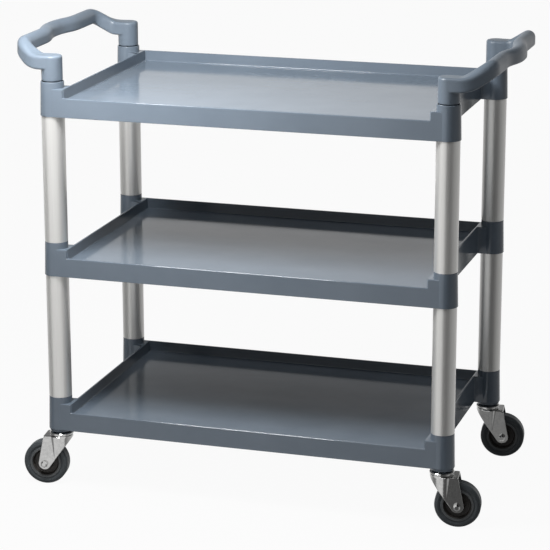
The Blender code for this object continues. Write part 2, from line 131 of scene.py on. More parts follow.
def turned(name, profile, sides=96, loop=False, centre=(0, 0), smoothAngle=32):
    return closedMesh(name, [circleRing(r, z, sides, centre) for r, z in profile], loop, smoothAngle)


def bendPoints(start, corner, end, steps):
    shares = [i / steps for i in range(steps + 1)]
    return [start * (1 - t) ** 2 + corner * (2 * t * (1 - t)) + end * t ** 2 for t in shares]


# shares of a side: the most that a round takes of it, and the bit after the round that is held straight
rounding = {"longest": 0.49, "hold": 0.004}


def roundedProfile(points, radii, steps=4):
    # a polyline of (radius, height) with each inner corner rounded by its own radius
    line = [Vector(p) for p in points]
    out = [tuple(line[0])]
    for before, corner, after, radius in zip(line, line[1:], line[2:], radii):
        back = before - corner
        ahead = after - corner
        half = back.normalized().angle(ahead.normalized()) / 2
        longest = rounding["longest"] * min(back.length, ahead.length)
        reach = min(radius / math.tan(half), longest)
        start = corner + back.normalized() * reach
        end = corner + ahead.normalized() * reach
        out.append(tuple(start + back * rounding["hold"]))
        out += [tuple(point) for point in bendPoints(start, corner, end, steps)]
        out.append(tuple(end + ahead * rounding["hold"]))
    out.append(tuple(line[-1]))
    return out


def quarterTurn(*turns):
    # how far in and how far down each point of a quarter round lies, as shares of its radius
    angles = [math.radians(turn) for turn in turns]
    return [(1 - math.cos(a), 1 - math.sin(a)) for a in angles]


def moved(mesh, matrix):
    mesh.transform(matrix)
    if matrix.determinant() < 0:
        mesh.flip_normals()
    return mesh


def joinMeshes(name, meshes, smoothAngle=32):
    work = bmesh.new()
    for mesh in meshes:
        work.from_mesh(mesh)
    joined = bpy.data.meshes.new(name)
    work.to_mesh(joined)
    work.free()
    joined.shade_smooth()
    joined.set_sharp_from_angle(angle=math.radians(smoothAngle))
    return joined


def addPiece(name, mesh, material, body, replaced=()):
    item = bpy.data.objects.new(name, mesh)
    bpy.context.scene.collection.objects.link(item)
    mesh.materials.clear()
    mesh.materials.append(material)
    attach(item, body)
    if replaced:
        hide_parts(*replaced)
    return item


def bakeModifiers(mesh, build):
    # run the modifiers that build() adds on a scratch object and keep the plain mesh
    item = bpy.data.objects.new("scratch", mesh)
    bpy.context.scene.collection.objects.link(item)
    build(item)
    graph = bpy.context.evaluated_depsgraph_get()
    result = bpy.data.meshes.new_from_object(item.evaluated_get(graph))
    bpy.data.objects.remove(item)
    return result


def remeshed(mesh, voxel, rounds):
    # fuse overlapping closed forms into one skin and relax it
    def build(item):
        remesh = item.modifiers.new("remesh", "REMESH")
        remesh.mode = "VOXEL"
        remesh.voxel_size = voxel
        relax = item.modifiers.new("relax", "SMOOTH")
        relax.factor = 0.5
        relax.iterations = rounds
    return bakeModifiers(mesh, build)


# materials
noiseBand = (0.3, 0.7)  # the middle of the noise's range, spread over each look


def newMaterial(name):
    material = bpy.data.materials.new(name)
    material.use_nodes = True
    nodes = material.node_tree.nodes
    shader = nodes["Principled BSDF"]
    place = nodes.new("ShaderNodeTexCoord").outputs["Object"]
    return material, nodes, material.node_tree.links, shader, place


def noiseNode(nodes, links, vector, scale, detail, stretch=None):
    noise = nodes.new("ShaderNodeTexNoise")
    noise.inputs["Scale"].default_value = scale
    noise.inputs["Detail"].default_value = detail
    noise.inputs["Roughness"].default_value = 0.55
    source = vector
    if stretch:
        mapping = nodes.new("ShaderNodeMapping")
        mapping.inputs["Scale"].default_value = stretch
        links.new(vector, mapping.inputs["Vector"])
        source = mapping.outputs["Vector"]
    links.new(source, noise.inputs["Vector"])
    return noise.outputs["Fac"]


def rampNode(nodes, links, fac, stops):
    ramp = nodes.new("ShaderNodeValToRGB")
    while len(ramp.color_ramp.elements) < len(stops):
        ramp.color_ramp.elements.new(0.5)
    for element, (place, colour) in zip(ramp.color_ramp.elements, stops):
        element.position = place
        element.color = (*colour, 1.0)
    links.new(fac, ramp.inputs["Fac"])
    return ramp.outputs["Color"]


def toneNode(nodes, links, fac, dark, light):
    return rampNode(nodes, links, fac, list(zip(noiseBand, (dark, light))))


def rangeNode(nodes, links, fac, low, high):
    spread = nodes.new("ShaderNodeMapRange")
    spread.inputs["From Min"].default_value = noiseBand[0]
    spread.inputs["From Max"].default_value = noiseBand[1]
    spread.inputs["To Min"].default_value = low
    spread.inputs["To Max"].default_value = high
    links.new(fac, spread.inputs["Value"])
    return spread.outputs["Result"]


def bumpNode(nodes, links, height, strength, distance, normal=None):
    bump = nodes.new("ShaderNodeBump")
    bump.inputs["Strength"].default_value = strength
    bump.inputs["Distance"].default_value = distance
    links.new(height, bump.inputs["Height"])
    if normal:
        links.new(normal, bump.inputs["Normal"])
    return bump.outputs["Normal"]


# in each look a noise is (scale, detail) and a bump is (strength, distance)
plastic = {"dark": (0.136, 0.170, 0.211), "light": (0.154, 0.190, 0.233), "gloss": (0.10, 0.15),
           "gripGloss": (0.34, 0.42), "refraction": 1.5, "flow": (9.0, 3.0), "smear": (14.0, 5.0),
           "smearStretch": (0.35, 1.0, 1.0), "grain": (1400.0, 2.0), "grainBump": (0.03, 0.0001),
           "wave": (16.0, 1.0), "waveBump": (0.03, 0.001)}


def slatePlastic(name, gloss):
    material, nodes, links, shader, place = newMaterial(name)
    flow = noiseNode(nodes, links, place, *plastic["flow"])  # faint flow marks of the moulding
    links.new(toneNode(nodes, links, flow, plastic["dark"], plastic["light"]), shader.inputs["Base Color"])
    smear = noiseNode(nodes, links, place, *plastic["smear"], stretch=plastic["smearStretch"])
    links.new(rangeNode(nodes, links, smear, *gloss), shader.inputs["Roughness"])
    grain = noiseNode(nodes, links, place, *plastic["grain"])  # fine spark-eroded mould texture
    wave = noiseNode(nodes, links, place, *plastic["wave"])
    soft = bumpNode(nodes, links, wave, *plastic["waveBump"])
    links.new(bumpNode(nodes, links, grain, *plastic["grainBump"], soft), shader.inputs["Normal"])
    shader.inputs["IOR"].default_value = plastic["refraction"]
    return material


aluminium = {"dark": (0.74, 0.735, 0.715), "light": (0.82, 0.815, 0.795), "gloss": (0.30, 0.37),
             "metal": 0.6,  # the anodised skin scatters some of the light
             "drawn": (900.0, 3.0),  # fine lines along the tube
             "drawnStretch": (1.0, 1.0, 0.01), "drawnBump": (0.05, 0.0001)}


def satinAluminium():
    material, nodes, links, shader, place = newMaterial("satinAluminium")
    drawn = noiseNode(nodes, links, place, *aluminium["drawn"], stretch=aluminium["drawnStretch"])
    tone = toneNode(nodes, links, drawn, aluminium["dark"], aluminium["light"])
    links.new(tone, shader.inputs["Base Color"])
    links.new(rangeNode(nodes, links, drawn, *aluminium["gloss"]), shader.inputs["Roughness"])
    links.new(bumpNode(nodes, links, drawn, *aluminium["drawnBump"]), shader.inputs["Normal"])
    shader.inputs["Metallic"].default_value = aluminium["metal"]
    return material


zinc = {"dark": (0.60, 0.60, 0.595), "light": (0.74, 0.74, 0.73), "gloss": (0.09, 0.15),
        "mottle": (160.0, 5.0), "mottleBump": (0.05, 0.0002), "streak": (500.0, 3.0),
        "streakStretch": (1.0, 1.0, 0.15)}


def brightZinc():
    material, nodes, links, shader, place = newMaterial("brightZinc")
    mottle = noiseNode(nodes, links, place, *zinc["mottle"])
    links.new(toneNode(nodes, links, mottle, zinc["dark"], zinc["light"]), shader.inputs["Base Color"])
    streak = noiseNode(nodes, links, place, *zinc["streak"], stretch=zinc["streakStretch"])
    links.new(rangeNode(nodes, links, streak, *zinc["gloss"]), shader.inputs["Roughness"])
    links.new(bumpNode(nodes, links, mottle, *zinc["mottleBump"]), shader.inputs["Normal"])
    shader.inputs["Metallic"].default_value = 1.0
    return material


# the third and fourth colours are painted on the tyre's raised bead to make it paler
rubber = {"dark": (0.040, 0.048, 0.054), "light": (0.058, 0.068, 0.075), "beadDark": (0.086, 0.093, 0.098),
          "pale": (0.106, 0.113, 0.117), "gloss": (0.42, 0.58), "dust": (55.0, 6.0), "pores": (1800.0, 2.0),
          "poresBump": (0.1, 0.0001)}


def greyRubber():
    material, nodes, links, shader, place = newMaterial("greyRubber")
    dust = noiseNode(nodes, links, place, *rubber["dust"])
    # the raised bead of the tyre takes the paler painted tones through this mix
    paleBead = nodes.new("ShaderNodeAttribute")
    paleBead.attribute_name = "paleBead"
    blend = nodes.new("ShaderNodeMix")
    blend.data_type = "RGBA"
    links.new(paleBead.outputs["Fac"], blend.inputs[0])
    links.new(toneNode(nodes, links, dust, rubber["dark"], rubber["light"]), blend.inputs[6])
    links.new(toneNode(nodes, links, dust, rubber["beadDark"], rubber["pale"]), blend.inputs[7])
    links.new(blend.outputs[2], shader.inputs["Base Color"])
    links.new(rangeNode(nodes, links, dust, *rubber["gloss"]), shader.inputs["Roughness"])
    pores = noiseNode(nodes, links, place, *rubber["pores"])
    links.new(bumpNode(nodes, links, pores, *rubber["poresBump"]), shader.inputs["Normal"])
    return material


core = {"dark": (0.034, 0.031, 0.028), "light": (0.050, 0.045, 0.041), "gloss": (0.45, 0.6),
        "clouds": (80.0, 4.0), "grain": (1500.0, 2.0), "grainBump": (0.08, 0.0001)}


def corePlastic():
    material, nodes, links, shader, place = newMaterial("corePlastic")
    clouds = noiseNode(nodes, links, place, *core["clouds"])
    links.new(toneNode(nodes, links, clouds, core["dark"], core["light"]), shader.inputs["Base Color"])
    links.new(rangeNode(nodes, links, clouds, *core["gloss"]), shader.inputs["Roughness"])
    grain = noiseNode(nodes, links, place, *core["grain"])
    links.new(bumpNode(nodes, links, grain, *core["grainBump"]), shader.inputs["Normal"])
    return material


finish = {"slate_plastic": slatePlastic("slatePlastic", plastic["gloss"]),
          "brushed_aluminium": satinAluminium(),
          "zinc_plated_steel": brightZinc(),
          "wheel_core_plastic": corePlastic(),
          "grey_rubber": greyRubber()}
gripFinish = slatePlastic("gripPlastic", plastic["gripGloss"])  # the handles are moulded with a duller skin
print("materials made:", ", ".join(sorted(finish)))

# moulded trays
tray = {"endWall": 0.4120, "longWall": 0.2590, "wall": 0.0045, "draft": 0.002, "wellDraft": 0.0008,
        "wallTop": 0.061, "lipTop": 0.042, "floorTop": 0.037, "floorThick": 0.004, "stepX": 0.4070,
        "collarTop": 0.075, "collarRadius": 0.0254, "collarFlare": 0.002, "collarBore": 0.0229,
        "collarRounds": [0.0012, 0.0006], "collarSides": 96, "earFillet": 0.003, "cornerFillet": 0.0025,
        "wellCorner": 0.0015, "edgeRound": 0.0014, "rimRound": 0.0004, "footRound": 0.0005,
        "floorRound": 0.002, "underRound": 0.002,
        "flatBand": 0.003,  # a ring this far in keeps each large face flat
        "socket": 0.0257, "socketDepth": 0.025, "socketRound": 0.0005, "web": 0.004, "seam": 0.0008,
        "bottomSocket": 0.0203, "bottomFoot": (0.003, 0.0065), "bottomFootRounds": [0.001, 0.003]}
frontWall = {"far": (0.0, 0.12, 0.24, 0.34, 0.385, 0.396, 0.4015), "block": (0.4130, 0.4165),
             "step": (-0.0030, -0.0014, -0.0006, -0.0001, 0.0001, 0.0003, 0.0009, 0.0019, 0.0032),
             "rise": (0.0, 0.0, 0.03, 0.10, 0.5, 0.90, 0.965, 1.0, 1.0)}


def collarRadiusAt(height):
    return tray["collarRadius"] + tray["collarFlare"] * (1 - height / tray["collarTop"])


def frontStations():
    # places along the front wall, close together at the step from lip to corner block, each with its rise
    spots = [(x, 0.0) for x in frontWall["far"]]
    spots += [(tray["stepX"] + d, r) for d, r in zip(frontWall["step"], frontWall["rise"])]
    spots += [(x, 1.0) for x in frontWall["block"]]
    return spots


def outerQuarter(height, inset):
    # plan of the outside from the front centre round the ear and collar to the end centre
    ear = tray["longWall"] - postY - inset
    radius = collarRadiusAt(height)
    fillet = tray["earFillet"]
    back = math.sqrt((radius + fillet) ** 2 - (ear + fillet) ** 2)
    lean = math.degrees(math.atan2(ear + fillet, back))
    points = [(x, -postY - ear) for x, _ in frontStations()]
    points += arcProfile((postX - back, -postY - ear - fillet), fillet, 90, lean, 4)
    hidden = radius - tray["seam"]
    points += arcProfile((postX, -postY), hidden, 180 + lean, 180 - lean, 12)
    points += arcProfile((postX - back, -postY + ear + fillet), fillet, -lean, -90, 4)
    bend = tray["cornerFillet"]
    wallX = tray["endWall"] - inset
    points += arcProfile((wallX + bend, -postY + ear + bend), bend, -90, -180, 5)
    startY = points[-1][1]
    points += [(wallX, startY * (1 - t)) for t in (0.25, 0.6, 1.0)]
    return points


def innerQuarter(halfX, halfY):
    # plan of the well or of the hollow underneath, station by station with the outside
    spots = frontStations()
    bend = tray["wellCorner"]
    outside = outerQuarter(0, 0)
    flat = [(x, -halfY) for x, _ in spots if x <= halfX - bend]
    turning = len(spots) - len(flat) + 5
    points = flat + arcProfile((halfX - bend, -halfY + bend), bend, -90, 0, turning - 1)
    lowest = -halfY + bend
    for x, y in outside[len(points):]:
        points.append((halfX, max(y, lowest)))
        lowest = points[-1][1]
    points[-1] = (halfX, 0.0)
    return points


def wholeLoop(quarter):
    right = quarter + [(x, -y) for x, y in reversed(quarter[:-1])]
    return right + [(-x, y) for x, y in reversed(right[1:-1])]


def riseLoop():
    count = len(outerQuarter(0, 0))
    front = [r for _, r in frontStations()]
    quarter = front + [1.0] * (count - len(front))
    right = quarter + [1.0] * (count - 1)
    return right + list(reversed(right[1:-1]))


def levelRing(heights, plan, extra=0.0):
    # a ring whose height changes from station to station
    plans = {height: plan(height, extra) for height in set(heights)}
    return [(*plans[height][i], height) for i, height in enumerate(heights)]


def flatRing(height, plan):
    return [(x, y, height) for x, y in plan]


def trayBody():
    lip = tray["lipTop"]
    tops = [lip + (tray["wallTop"] - lip) * rise for rise in riseLoop()]
    floorTop = tray["floorTop"]
    ceiling = floorTop - tray["floorThick"]
    slope = tray["draft"] / tray["wallTop"]
    wellSlope = tray["wellDraft"] / (tray["wallTop"] - floorTop)
    floorInset = tray["draft"] + tray["wall"] + tray["wellDraft"]

    def outside(height, extra=0.0):
        return wholeLoop(outerQuarter(height, slope * height + extra))

    def inside(inset):
        return wholeLoop(innerQuarter(tray["endWall"] - inset, tray["longWall"] - inset))

    def well(height, extra=0.0):
        return inside(floorInset - wellSlope * (height - floorTop) + extra)

    def hollow(height, extra=0.0):
        return inside(tray["wall"] + slope * height + extra)

    under = tray["underRound"]
    rings = [flatRing(ceiling, hollow(ceiling, under + tray["flatBand"]))]
    for across, down in quarterTurn(90, 45, 0):
        height = ceiling - under * down
        rings.append(flatRing(height, hollow(height, under * across)))
    foot = tray["footRound"]
    for across, down in quarterTurn(0, 45, 90):
        rings.append(flatRing(foot * down, hollow(0, -foot * across)))
    for across, down in quarterTurn(90, 45, 0):
        rings.append(flatRing(foot * down, outside(0, foot * across)))
    edge = tray["edgeRound"]
    for share in (0.02, 0.98, 1.0):  # rings close to the rounds keep the wall flat between them
        rings.append(levelRing([foot + (top - edge - foot) * share for top in tops], outside))
    for across, down in quarterTurn(30, 60, 90):
        rings.append(levelRing([top - edge * down for top in tops], outside, edge * across))
    rim = tray["rimRound"]
    for across, down in quarterTurn(90, 60, 30, 0):
        rings.append(levelRing([top - rim * down for top in tops], well, -rim * across))
    bend = tray["floorRound"]
    for share in (0.04, 0.96):
        rings.append(levelRing([top - rim + (floorTop + bend - top + rim) * share for top in tops], well))
    for across, down in quarterTurn(0, 22.5, 45, 67.5, 90):
        height = floorTop + bend * down
        rings.append(flatRing(height, well(height, bend * across)))
    rings.append(flatRing(floorTop, well(floorTop, bend + tray["flatBand"])))
    return closedMesh("trayBody", rings, smoothAngle=28)


def collarMesh(place, bottom):
    top = tray["collarTop"]
    depth = tray["socketDepth"]
    bore = tray["collarBore"]
    socket = tray["socket"]
    foot = [(collarRadiusAt(0), 0)]
    footRounds = [tray["footRound"]]
    if bottom:  # the bottom tray's collars end in a chamfered foot over the casters
        chamfer, drop = tray["bottomFoot"]
        socket = tray["bottomSocket"]
        foot.insert(0, (collarRadiusAt(0) - chamfer, -drop))
        footRounds = tray["bottomFootRounds"]
    points = [(socket, depth), (socket, foot[0][1])] + foot
    points += [(collarRadiusAt(top), top), (bore, top), (bore, depth + tray["web"])]
    radii = [tray["socketRound"]] + footRounds + tray["collarRounds"]
    return turned("collar", roundedProfile(points, radii), tray["collarSides"], centre=place)


ribs = {"thick": 0.003, "depth": 0.012, "sunk": 0.001, "across": 7, "along": 1}


def ribTree():
    # a row of equal ribs: count, spacing and size are the tree's own inputs
    tree = bpy.data.node_groups.new("ribRow", "GeometryNodeTree")
    face = tree.interface
    face.new_socket("Geometry", in_out="OUTPUT", socket_type="NodeSocketGeometry")
    kinds = {"Count": "Int", "Spacing": "Vector", "Start": "Vector", "Size": "Vector", "Finish": "Material"}
    inputs = {}
    for label, kind in kinds.items():
        inputs[label] = face.new_socket(label, in_out="INPUT", socket_type="NodeSocket" + kind).identifier
    nodes = tree.nodes
    links = tree.links
    source = nodes.new("NodeGroupInput")
    sink = nodes.new("NodeGroupOutput")
    line = nodes.new("GeometryNodeMeshLine")
    cube = nodes.new("GeometryNodeMeshCube")
    spread = nodes.new("GeometryNodeInstanceOnPoints")
    real = nodes.new("GeometryNodeRealizeInstances")
    paint = nodes.new("GeometryNodeSetMaterial")
    links.new(source.outputs["Count"], line.inputs["Count"])
    links.new(source.outputs["Spacing"], line.inputs["Offset"])
    links.new(source.outputs["Start"], line.inputs["Start Location"])
    links.new(source.outputs["Size"], cube.inputs["Size"])
    links.new(line.outputs["Mesh"], spread.inputs["Points"])
    links.new(cube.outputs["Mesh"], spread.inputs["Instance"])
    links.new(spread.outputs["Instances"], real.inputs["Geometry"])
    links.new(real.outputs["Geometry"], paint.inputs["Geometry"])
    links.new(source.outputs["Finish"], paint.inputs["Material"])
    links.new(paint.outputs["Geometry"], sink.inputs["Geometry"])
    return tree, inputs


def ribMesh(tree, inputs, count, start, spacing, size):
    def build(item):
        modifier = item.modifiers.new("ribs", "NODES")
        modifier.node_group = tree
        modifier[inputs["Count"]] = count
        modifier[inputs["Start"]] = start
        modifier[inputs["Spacing"]] = spacing
        modifier[inputs["Size"]] = size
        modifier[inputs["Finish"]] = finish["slate_plastic"]
    return bakeModifiers(bpy.data.meshes.new("ribs"), build)


def makeTrays():
    tree, inputs = ribTree()
    ceiling = tray["floorTop"] - tray["floorThick"]
    reachX = tray["endWall"] - tray["wall"]
    reachY = tray["longWall"] - tray["wall"]
    height = ribs["depth"] + ribs["sunk"]
    level = ceiling + ribs["sunk"] - height / 2
    gapX = 2 * reachX / (ribs["across"] + 1)
    gapY = 2 * reachY / (ribs["along"] + 1)
    across = ribMesh(tree, inputs, ribs["across"], (gapX - reachX, 0, level), (gapX, 0, 0),
                     (ribs["thick"], 2 * reachY, height))
    along = ribMesh(tree, inputs, ribs["along"], (0, gapY - reachY, level), (0, gapY, 0),
                    (2 * reachX, ribs["thick"], height))
    body = trayBody()
    for name, base in trayBase.items():
        places = [(sideX * postX, sideY * postY) for sideX, sideY in corners.values()]
        collars = [collarMesh(place, name == "bottom_tray") for place in places]
        mesh = joinMeshes(name + "Shell", [body, across, along] + collars, 28)
        moved(mesh, Matrix.Translation((0, 0, base)))
        shell = name.replace("_tray", "TrayShell")
        addPiece(shell, mesh, finish["slate_plastic"], "frame", [name])
    print("trays made:", len(body.polygons), "faces in one body")


# posts
tube = {"radius": 0.0254, "wall": 0.0016, "edge": 0.0003, "sides": 96}


def makePosts():
    for run in ("lower", "upper"):
        for corner in corners:
            node = run + "_post_" + corner
            low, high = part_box(node)
            middle = (low + high) / 2
            r = tube["radius"]
            inner = r - tube["wall"]
            e = tube["edge"]
            profile = [(r - e, low.z), (r, low.z + e), (r, high.z - e), (r - e, high.z),
                       (inner + e, high.z), (inner, high.z - e), (inner, low.z + e), (inner + e, low.z)]
            mesh = turned(node, profile, tube["sides"], loop=True, centre=(middle.x, middle.y))
            addPiece(run + "Post_" + corner, mesh, finish["brushed_aluminium"], "frame",
                     [node])
    print("posts made")


# push handles
handle = {"legDiameter": 0.0462, "legInsert": 0.038, "seam": 0.0013, "insert": 0.0395, "insertTop": 0.008,
          "armCentre": 0.0415, "armHeight": 0.030, "armStraight": 0.038, "armBlend": 0.014, "armTaper": 0.090,
          "armInset": 0.0006, "capRound": 0.0045, "capProud": 0.0003, "reach": 0.080, "rise": 0.030,
          "riseStart": 0.024, "riseEnd": 0.099, "gripWidth": 0.0305, "gripHeight": 0.0325, "topRound": 0.0148,
          "lowRound": 0.0035, "cornerInset": 0.0255, "cornerBlend": 0.0455, "swellReach": 0.0155,
          "swellFlat": 0.080, "swellLength": 0.138, "swellBlend": 0.0245, "soften": 7, "softenShare": 0.8,
          "steps": 150, "voxel": 0.0013, "relax": 8, "legSides": 96, "insertSides": 64}


def ease(value):
    value = min(max(value, 0.0), 1.0)
    return value * value * (3 - 2 * value)


def blendedPath(points, blends, steps=14):
    path = [points[0]]
    for before, corner, after, blend in zip(points, points[1:], points[2:], blends):
        back = before - corner
        ahead = after - corner
        reach = min(blend, 0.499 * back.length, 0.499 * ahead.length)  # two blends never meet
        start = corner + back.normalized() * reach
        end = corner + ahead.normalized() * reach
        path += bendPoints(start, corner, end, steps)
    path.append(points[-1])
    return path


def evenPoints(path, count):
    lengths = [0.0]
    for a, b in zip(path, path[1:]):
        lengths.append(lengths[-1] + (b - a).length)
    points = []
    index = 0
    for i in range(count + 1):
        along = lengths[-1] * i / count
        while index < len(path) - 2 and lengths[index + 1] < along:
            index += 1
        share = (along - lengths[index]) / (lengths[index + 1] - lengths[index])
        points.append((path[index].lerp(path[index + 1], share), along))
    return points, lengths[-1]


def gripSection(width, height, upper):
    lower = handle["lowRound"]
    points = arcProfile((width / 2 - upper, height / 2 - upper), upper, 0, 90, 8)
    points += arcProfile((upper - width / 2, height / 2 - upper), upper, 90, 180, 8)
    points += arcProfile((lower - width / 2, lower - height / 2), lower, 180, 270, 4)
    points += arcProfile((width / 2 - lower, lower - height / 2), lower, 270, 360, 4)
    return points


def handlePath():
    # plan of the bar from the rear post round the swell to the front post
    reach = handle["reach"]
    cornerY = postY - handle["cornerInset"]
    plan = [(0, postY), (handle["armStraight"], postY), (reach, cornerY), (reach, handle["swellLength"] / 2),
            (reach + handle["swellReach"], handle["swellFlat"] / 2)]
    rear = [Vector((x, y, 0)) for x, y in plan]
    front = [Vector((x, -y, 0)) for x, y in reversed(plan)]
    blends = [handle["armBlend"], handle["cornerBlend"], handle["swellBlend"], handle["swellBlend"]]
    return evenPoints(blendedPath(rear + front, blends + blends[::-1]), handle["steps"])


def handleBar():
    points, length = handlePath()
    soften = handle["soften"]
    climb = handle["riseEnd"] - handle["riseStart"]
    spine = []
    for i, (point, along) in enumerate(points):
        if abs(point.y) < handle["swellLength"] * handle["softenShare"]:  # ease the swell in and out
            near = points[i - soften:i + soften + 1]
            point = Vector((sum(p.x for p, _ in near) / len(near), point.y, 0))
        reach = min(along, length - along)
        rise = handle["rise"] * ease((reach - handle["riseStart"]) / climb)
        taper = ease((reach - handle["capRound"]) / handle["armTaper"])
        spine.append((point + Vector((0, 0, handle["armCentre"] + rise)), taper))
    armWidth = handle["legDiameter"] - handle["armInset"]
    rings = []
    for i, (point, taper) in enumerate(spine):
        along = (spine[min(i + 1, len(spine) - 1)][0] - spine[max(i - 1, 0)][0]).normalized()
        across = along.cross(Vector((0, 0, 1))).normalized()
        upward = across.cross(along)
        width = armWidth + (handle["gripWidth"] - armWidth) * taper
        height = handle["armHeight"] + (handle["gripHeight"] - handle["armHeight"]) * taper
        upper = handle["capRound"] + (handle["topRound"] - handle["capRound"]) * taper
        rings.append([point + across * a + upward * b for a, b in gripSection(width, height, upper)])
    return closedMesh("handleBar", rings)


def handleMesh():
    r = handle["legDiameter"] / 2
    bend = handle["capRound"]
    shoulder = handle["armCentre"] + handle["armHeight"] / 2 + handle["capProud"] - bend
    leg = [(r, handle["seam"]), (r, shoulder)]
    leg += [(r - bend + x, shoulder + z) for x, z in arcProfile((0, 0), bend, 15, 90, 5)]
    inner = handle["insert"] / 2
    insert = [(inner, -handle["legInsert"]), (inner, handle["seam"] + handle["insertTop"])]
    ends = [(0, -postY), (0, postY)]
    legs = [turned("leg", leg, handle["legSides"], centre=end) for end in ends]
    inserts = [turned("insert", insert, handle["insertSides"], centre=end) for end in ends]
    skin = remeshed(joinMeshes("handleRaw", [handleBar()] + legs), handle["voxel"], handle["relax"])
    return joinMeshes("handle", [skin] + inserts, 50)


def makeHandles():
    right = handleMesh()
    base = trayBase["top_tray"] + tray["collarTop"]
    left = right.copy()
    moved(right, Matrix.Translation((postX, 0, base)))
    moved(left, Matrix.Translation((-postX, 0, base)) @ Matrix.Rotation(math.pi, 4, "Z"))
    addPiece("rightHandleShell", right, gripFinish, "frame", ["right_handle"])
    addPiece("leftHandleShell", left, gripFinish, "frame", ["left_handle"])
    print("handles made:", len(right.polygons), "faces each")


# casters, drawn with the kingpin on the Z axis, the floor at zero and the wheel trailing along +X
caster = {"clearance": 0.0003, "raceRadius": 0.027, "raceLip": 0.0025, "raceSheet": 0.0016, "raceTop": 0.0165,
          "raceShoulder": (0.0205, 0.0006), "raceCup": (0.0026, 0.0012), "raceSides": 96, "pinRadius": 0.005,
          "raceRounds": (0.0004, 0.0016, 0.0016, 0.0014, 0.0012, 0.0006, 0.0006),
          "hexWidth": 0.0145, "hexSides": 48, "headHeight": 0.0055, "nutHeight": 0.0065, "tail": 0.002,
          "hexChamfer": ((0.0018, 2.0), (0.0006, 0.925), (0.0, 0.80)),  # depth below the top, share of radius
          "dome": 0.0018, "domeShare": 0.30, "shank": 0.004, "shankSides": 32}
fork = {"plate": 0.0028, "half": 0.0235, "lead": 0.026, "bend": 0.008, "tail": 0.0375, "eye": 0.014,
        "skirt": 0.001, "swell": 0.0048, "crease": 0.0112, "creaseFoot": 0.058, "step": 0.0088,
        "stepFoot": 0.1, "topRound": 0.002, "tailRound": 0.006, "seat": 0.0243, "seatRise": 0.005,
        "seatFlare": 0.0012, "seatFoot": (0.0006, 0.0018), "seatSides": 72, "voxel": 0.00065, "relax": 4,
        "past": 0.01, "wide": 0.05, "far": 0.1}  # the last three are how far the cutters reach
# the paler paint on the tyre's raised bead reaches a little past the bead's outer radius
wheel = {"radius": 0.05034, "half": 0.016, "side": 0.0142, "sides": 128, "coreSides": 96,
         "beadOuter": 0.0354, "beadInner": 0.0308, "beadRise": 0.0016, "beadFoot": (0.0014, 0.0004),
         "bulge": 0.0425, "shoulder": (0.0022, 0.0016), "tread": 0.0045, "paleReach": 0.0004,
         "tyreRounds": (0.0006, 0.0008, 0.001, 0.006, 0.003, 0.003),
         "bore": 0.0083, "boss": 0.0145, "bossHalf": 0.0194, "bossDraft": 0.0014, "web": 0.005,
         "rimGap": 0.0002, "rimFoot": 0.0035, "rimWall": 0.0016, "rimDrop": 0.0012,
         "coreRounds": (0.0006, 0.001, 0.003, 0.003, 0.0008, 0.0004)}


def combined(base, tool, operation):
    # boolean of two closed meshes
    other = bpy.data.objects.new("tool", tool)
    bpy.context.scene.collection.objects.link(other)

    def build(item):
        cut = item.modifiers.new("cut", "BOOLEAN")
        cut.operation = operation
        cut.solver = "EXACT"
        cut.object = other
    result = bakeModifiers(base, build)
    bpy.data.objects.remove(other)
    return result


def forkPlan(inset, rise, trail):
    # half-ellipse nose that swells towards the crown, a step down at the crease, then the flat legs
    half = fork["half"] - inset
    swell = fork["swell"] * rise
    step = fork["step"] * (fork["stepFoot"] + (1 - fork["stepFoot"]) * rise)
    lead = fork["lead"] + fork["bend"] - inset
    turns = [math.pi / 2 * i / 24 for i in range(25)]
    shares = [i / 8 for i in range(9)]
    side = [(fork["bend"] - lead * math.cos(t), (half + swell) * math.sin(t)) for t in turns]
    side += [(fork["crease"] + step * share, half + swell - swell * ease(share)) for share in shares]
    side.append((trail + 2 * fork["eye"] + inset, half))
    return list(reversed(side)) + [(x, -y) for x, y in side[1:]]


def touchAngle(eye, point, side):
    toward = math.atan2(point.y - eye.y, point.x - eye.x)
    return toward + side * math.acos(fork["eye"] / (point - eye).length)


def prism(name, plan, low, high):
    return closedMesh(name, [[(x, y, z) for x, y in plan] for z in (low, high)])


def forkShell(trail, axle, crownTop):
    # the pressed sheet over its whole height, before the side view is cut
    crownBottom = crownTop - fork["plate"]
    span = crownTop - fork["creaseFoot"]

    def ringAt(height, inset):
        rise = min(max((height - fork["creaseFoot"]) / span, 0), 1)
        return [(x, y, height) for x, y in forkPlan(inset, rise, trail)]

    low = axle - 2 * fork["eye"]
    levels = [fork["creaseFoot"] + span * i / 8 for i in range(8)]
    bend = fork["topRound"]
    outer = [ringAt(z, 0) for z in [low] + levels if z < crownTop - bend]
    for across, down in quarterTurn(0, 22.5, 45, 67.5, 90):
        outer.append(ringAt(crownTop - bend * down, bend * across))
    inner = [ringAt(z, fork["plate"]) for z in [low - fork["past"]] + levels if z < crownBottom]
    inner.append(ringAt(crownBottom, fork["plate"]))
    return combined(closedMesh("forkOuter", outer), closedMesh("forkInner", inner), "DIFFERENCE")


